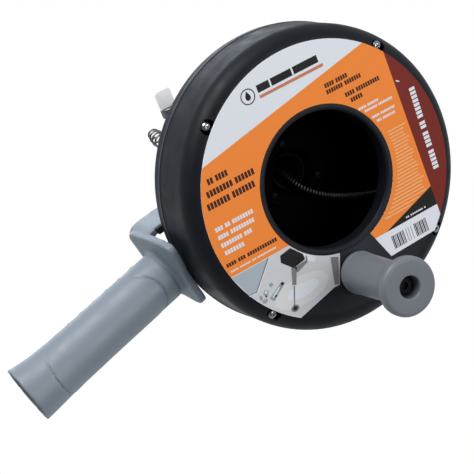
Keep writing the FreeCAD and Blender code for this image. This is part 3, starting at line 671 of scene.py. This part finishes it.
def wound(name, line, radius, pitch, spacing, body, replaces, sides=12):
    """A cable wound from wire: a tube whose ridge climbs round it once every pitch."""
    shape = bmesh.new()
    ridge = 0.3 * pitch

    def reach(index, turn):
        phase = math.pi * index * spacing / pitch - turn / 2
        return (radius - ridge * (1 - abs(math.sin(phase)))) * MM

    tube(shape, [point * MM for point in line], reach, sides)
    piece(name, shape, body, CABLE, replaces, 80)


CABLE_RADIUS = 3.175
COIL_START, COIL_RADIUS, LAYER_STEP = 98.8, 83.6, 6.6
COIL_FRONT, COIL_REAR, COIL_DROP, COIL_END, ANCHOR_RADIUS = 38.0, 11.0, 1.6, 30.4, 66.0
HALF_TURNS_DOWN, HALF_TURNS_UP, HALF_TURN_STEPS = 8, 6, 60
LEAD_STRAIGHT = 24
WIRE_PITCH, FINE_STEP, COIL_STEP = 2.0, 0.25, 0.5
LEAD_ROUTE = ((0, 95, 0), (0.3, 66, -0.6), (5.5, 52, -3), (15, 43, -0.5), (26, 38.7, 8), (34.7, 38, 18),
              (42.5, 37.6, 28), (50, 37.4, 39.5), (47.5, 37.6, 56.5))


def around(turn, radius, station):
    """The point at a turn, in degrees, round the drum's axis."""
    return on_circle(math.radians(turn), radius, station)


def coil():
    """The cable's turns in the drum: half turns whose ends lie on one diameter."""
    down = [(COIL_RADIUS, COIL_FRONT + (COIL_REAR - COIL_FRONT) * index / HALF_TURNS_DOWN)
            for index in range(HALF_TURNS_DOWN + 1)]
    low = COIL_REAR - COIL_DROP
    up = [(COIL_RADIUS - LAYER_STEP, low + (COIL_END - low) * index / HALF_TURNS_UP)
          for index in range(HALF_TURNS_UP + 1)]
    stations = down + up + [(COIL_RADIUS - 2 * LAYER_STEP, COIL_END + 0.8), (ANCHOR_RADIUS, COIL_END)]
    ends = [around(COIL_START + 180 * index, radius, y) for index, (radius, y) in enumerate(stations)]
    line = [ends[0]]
    for index, (start, end) in enumerate(zip(ends, ends[1:])):
        middle, half = (start + end) / 2, (start - end) / 2
        side = around(COIL_START + 90 + 180 * index, half.length, 0)
        for step in range(1, HALF_TURN_STEPS + 1):
            swing = math.pi * step / HALF_TURN_STEPS
            line.append(middle + half * math.cos(swing) + side * math.sin(swing))
    turned = DRUM.to_3x3()
    wound("cable_turns", even([turned @ point for point in line], COIL_STEP), CABLE_RADIUS, WIRE_PITCH,
          COIL_STEP, "drum", ["cable_coil"], 10)
    finish = turned @ ends[0]
    heading = turned @ around(COIL_START + 90, 1, 0)
    route = [Vector(point) for point in LEAD_ROUTE]
    route += [finish - heading * LEAD_STRAIGHT, finish]
    wound("cable_lead_wire", smooth_path(route, FINE_STEP), CABLE_RADIUS, WIRE_PITCH, FINE_STEP, "drum",
          ["cable_lead"], 18)


def front_cable():
    """The straight run in the nose and the bulb of open coils on its end."""
    low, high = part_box("cable_front")
    line = even([Vector((0, low.y / MM, 0)), Vector((0, high.y / MM, 0))], FINE_STEP)
    wound("cable_front_wire", line, CABLE_RADIUS, WIRE_PITCH, FINE_STEP, "cable_head", ["cable_front"], 18)
    shape = bmesh.new()
    start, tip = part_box("bulb_head")[0].y / MM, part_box("bulb_head")[1].y / MM
    wire, steps, turns = 0.75, 24, 7
    tight, tight_length, belly, sideways = 0.3, 0.15, 3.2, 3.4
    line = []
    for index in range(turns * steps + 1):
        part = index / (turns * steps)
        if part < tight:
            along = part / tight * tight_length
        else:
            along = tight_length + (part - tight) / (1 - tight) * (1 - tight_length)
        radius = CABLE_RADIUS - wire + belly * math.sin(math.pi * (0.05 + 0.8 * along)) - 0.3 * along
        bend = along * along * sideways
        turn = 2 * math.pi * index / steps
        line.append(Vector((radius * math.cos(turn) - bend, start + wire + along * (tip - start - 2 * wire),
                            radius * math.sin(turn) + bend)) * MM)
    tube(shape, line, lambda index, turn: wire * MM, 8)
    piece("bulb_wire", shape, "cable_head", SPRING, ["bulb_head"], 60)


# ---------------------------------------------------------------- knob, screws and thumbscrew

def knob():
    """The crank knob with its flared end, its recess and a parting line."""
    low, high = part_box("knob")
    end, base = low.y / MM, high.y / MM
    shape = bmesh.new()
    outline = rounded([(4.05, base, 0), (14.2, base, 0.9), (14.15, base - 3.2, 0.3),
                       (13.85, base - 3.5, 0.3), (13.2, end + 14, 16), (19.4, end + 6.6, 3.6),
                       (19.4, end, 2.9), (7.3, end, 1.0), (7.3, end + 11.5, 0.8), (4.05, end + 11.5, 0)], 8)
    lathe(shape, outline, 96, KNOB)
    piece("knob_moulding", shape, "knob", KNOB_GREY, ["knob"], 40)


SCREW_TURN, SCREW_TURN_STEP = 0.5, 1.1
DRUM_SCREW_CIRCLE, DRUM_SCREW_SEAT = 92.0, 4.2
NOSE_SCREW_CIRCLE, NOSE_SCREW_SEAT = 20.0, 48.2


def screw(head, height, shank, length):
    """A pan-head cross-slot screw, seat at the origin, driven along +Y."""
    shape = bmesh.new()
    outline = rounded([(0, -height, 0), (head * 0.62, -height, 2.0), (head, -height * 0.35, 0.5),
                       (head, 0, 0.2), (shank, 0, 0), (shank, length - 2, 0), (0.3, length, 0),
                       (0, length, 0)], 10)
    lathe(shape, outline, 40)
    bmesh.ops.recalc_face_normals(shape, faces=shape.faces)
    solid = bpy.data.meshes.new("screw_solid")
    shape.to_mesh(solid)
    shape.free()
    slot = bmesh.new()
    arm, half = head * 0.52, head * 0.13
    cross = [(arm, -half), (arm, half), (half, half), (half, arm), (-half, arm), (-half, half), (-arm, half),
             (-arm, -half), (-half, -half), (-half, -arm), (half, -arm), (half, -half)]
    deep = [(x * 0.45, z * 0.45) for x, z in cross]
    rim = [slot.verts.new(Vector((x, -height - 0.4, z)) * MM) for x, z in cross]
    floor = [slot.verts.new(Vector((x, -height * 0.15, z)) * MM) for x, z in deep]
    slot.faces.new(rim)
    slot.faces.new(list(reversed(floor)))
    for index in range(len(cross)):
        other = (index + 1) % len(cross)
        slot.faces.new((rim[other], rim[index], floor[index], floor[other]))
    bmesh.ops.recalc_face_normals(slot, faces=slot.faces)
    cutter = bpy.data.meshes.new("screw_slot")
    slot.to_mesh(cutter)
    slot.free()
    body, tool = bpy.data.objects.new("screw_solid", solid), bpy.data.objects.new("screw_slot", cutter)
    for thing in (body, tool):
        bpy.context.scene.collection.objects.link(thing)
    cut = body.modifiers.new("cut", "BOOLEAN")
    cut.object = tool
    cut.solver = "EXACT"
    mesh = with_modifiers(body)
    for thing in (body, tool):
        bpy.data.objects.remove(thing)
    return mesh


def screws(name, node, mesh, spots, material):
    """Copies of one screw, as one piece, each turned a little differently in its seat."""
    shape = bmesh.new()
    for index, spot in enumerate(spots):
        copy = mesh.copy()
        turn = SCREW_TURN + SCREW_TURN_STEP * index
        copy.transform(Matrix.Translation(spot * MM) @ Matrix.Rotation(turn, 4, "Y"))
        shape.from_mesh(copy)
        bpy.data.meshes.remove(copy)
    piece(name, shape, "drum", material, [node], 30)


def all_screws():
    """The drum's four screws, the neck's three and the one of the cable's anchor."""
    turned = DRUM.to_3x3()
    drum_seats = [turned @ around(45 + 90 * index, DRUM_SCREW_CIRCLE, DRUM_SCREW_SEAT) for index in range(4)]
    nose_seats = [turned @ around(60 + 120 * index, NOSE_SCREW_CIRCLE, NOSE_SCREW_SEAT) for index in range(3)]
    anchor_seat = turned @ around(COIL_START + 180, ANCHOR_RADIUS - 11.0, COIL_END + 3.4)
    screws("drum_screw_set", "drum_screws", screw(3.3, 2.2, 1.9, 36.0), drum_seats, ZINC)
    # the neck's and the anchor's screws get painted shade
    screws("nose_screw_set", "nose_screws", screw(2.9, 2.0, 1.5, 7.2), nose_seats, STEEL_PAINTED_SHADE)
    screws("anchor_screw_one", "anchor_screw", screw(3.0, 2.0, 1.5, 9.0), [anchor_seat], STEEL_PAINTED_SHADE)


def thumbscrew():
    """The clamp screw: threaded shank, round collar and flat spade, the body with painted shade and the spade
    with a painted highlight.
    """
    outward = -Vector(JOINTS["clamp_turn"]["axis"])
    centre = Matrix.Translation((0, Vector(JOINTS["clamp_turn"]["pos_m"]).y, 0))
    ahead = Vector((0, 1, 0))
    place = centre @ Matrix((ahead, outward, ahead.cross(outward))).transposed().to_4x4()
    shape = bmesh.new()
    thread = [Vector((3.95 - 0.45 * (index % 2), 4.4 + index * 0.5)) for index in range(43)]
    head = rounded([(3.6, 26.0, 0), (6.3, 26.0, 0.8), (6.3, 33.2, 1.2), (2.5, 33.2, 0), (0, 33.2, 0)])
    lathe(shape, [Vector((0, 3.6)), Vector((3.0, 3.6))] + thread + head, 48, place)
    piece("thumbscrew_body", shape, "thumbscrew", ZINC_PAINTED_SHADE, ["thumbscrew"], 35)
    spade = bmesh.new()
    across = centre @ Matrix((outward, ahead, outward.cross(ahead))).transposed().to_4x4()
    outline = rounded([(32.2, -6.2, 0.5), (38.0, -6.3, 8.0), (46.9, -6.3, 2.6), (46.9, 6.3, 2.6),
                       (38.0, 6.3, 8.0), (32.2, 6.2, 0.5)], 12)
    prism(spade, outline, -1.3, 1.3, across)
    bmesh.ops.recalc_face_normals(spade, faces=spade.faces)
    rim = [edge for edge in spade.edges if edge.calc_face_angle(0) > 0.8]
    bmesh.ops.bevel(spade, geom=rim, offset=0.6 * MM, segments=3, affect="EDGES", profile=0.5)
    piece("thumbscrew_spade", spade, "thumbscrew", ZINC_PAINTED_HIGHLIGHT, (), 40)


# ---------------------------------------------------------------- stage

FLOOR_HALF, FLOOR_THICK, FLOOR_HEIGHT = 4000, 20, -0.95
SKY = (0.90, 0.945, 1.0)
SKY_SPAN, SKY_STRENGTH = (-0.9, 0.2), (0.15, 0.72)
COOL = (0.78, 0.88, 1.0)


def stage():
    """A white background, a sky that is brighter ahead, a pale floor far below and soft lamps."""
    world = bpy.data.worlds.new("studio")
    bpy.context.scene.world = world
    world.use_nodes = True
    tree = world.node_tree
    nodes, links = tree.nodes, tree.links
    seen = nodes["Background"]
    seen.inputs["Color"].default_value = (1.0, 1.0, 1.0, 1)
    seen.inputs["Strength"].default_value = 1.0
    sky = nodes.new("ShaderNodeBackground")
    sky.inputs["Color"].default_value = (*SKY, 1)
    toward = nodes.new("ShaderNodeVectorMath")
    toward.operation = "DOT_PRODUCT"
    links.new(nodes.new("ShaderNodeTexCoord").outputs["Generated"], toward.inputs[0])
    toward.inputs[1].default_value = VIEW_AHEAD
    brightness = remap(tree, toward.outputs["Value"], SKY_SPAN, SKY_STRENGTH, "SMOOTHSTEP")
    links.new(brightness, sky.inputs["Strength"])
    choose = nodes.new("ShaderNodeMixShader")
    links.new(nodes.new("ShaderNodeLightPath").outputs["Is Camera Ray"], choose.inputs["Fac"])
    links.new(sky.outputs["Background"], choose.inputs[1])
    links.new(seen.outputs["Background"], choose.inputs[2])
    links.new(choose.outputs["Shader"], nodes["World Output"].inputs["Surface"])
    floor_shape = bmesh.new()
    prism(floor_shape, strip(-FLOOR_HALF, -FLOOR_HALF, FLOOR_HALF, FLOOR_HALF), 0, FLOOR_THICK,
          Matrix.Translation((0, 0, FLOOR_HEIGHT)) @ Matrix.Rotation(math.pi / 2, 4, "X"))
    mesh = bpy.data.meshes.new("floor")
    floor_shape.to_mesh(mesh)
    floor_shape.free()
    floor = bpy.data.objects.new("floor", mesh)
    pale = surface("floor_pale", (0.86, 0.86, 0.87), 0.7, mottle=0.01, grain=0.02, specular=0.0)
    glow(pale, 0.5)
    floor.data.materials.append(pale)
    bpy.context.scene.collection.objects.link(floor)
    floor.visible_diffuse = floor.visible_glossy = False
    middle = Vector((0, 0.02, -0.05))
    lamp("key", middle + (-VIEW_RIGHT * 0.9 - VIEW_DOWN * 1.3 - VIEW_AHEAD * 1.1), middle, 1.3, 36)
    lamp("fill", middle + (VIEW_RIGHT * 1.5 - VIEW_DOWN * 0.2 - VIEW_AHEAD * 1.5), middle, 1.4, 19)
    lamp("rim", middle + (-VIEW_RIGHT * 0.6 - VIEW_DOWN * 0.9 + VIEW_AHEAD * 1.6), middle, 1.0, 6.0, COOL)


def lamp(name, spot, target, size, power, colour=(1, 1, 1)):
    """A round soft lamp that faces its target."""
    data = bpy.data.lights.new(name, "AREA")
    data.color = colour
    data.shape = "DISK"
    data.size = size
    data.energy = power
    thing = bpy.data.objects.new(name, data)
    thing.location = spot
    thing.rotation_euler = (target - spot).to_track_quat("-Z", "Y").to_euler()
    bpy.context.scene.collection.objects.link(thing)


def camera():
    """The camera, and colours shown as they are."""
    data = bpy.data.cameras.new("camera")
    data.lens = CAMERA_LENS
    data.sensor_width = 36
    thing = bpy.data.objects.new("camera", data)
    turn = Matrix((VIEW_RIGHT, -VIEW_DOWN, -VIEW_AHEAD)).transposed().to_4x4()
    thing.matrix_world = Matrix.Translation(CAMERA_SPOT * MM) @ turn
    bpy.context.scene.collection.objects.link(thing)
    bpy.context.scene.camera = thing
    bpy.context.scene.view_settings.view_transform = "Standard"


camera()
stage()
dress_cad()
label()
label_print()
opening_lip()
drum_bead()
handle()
coil()
front_cable()
knob()
all_screws()
thumbscrew()
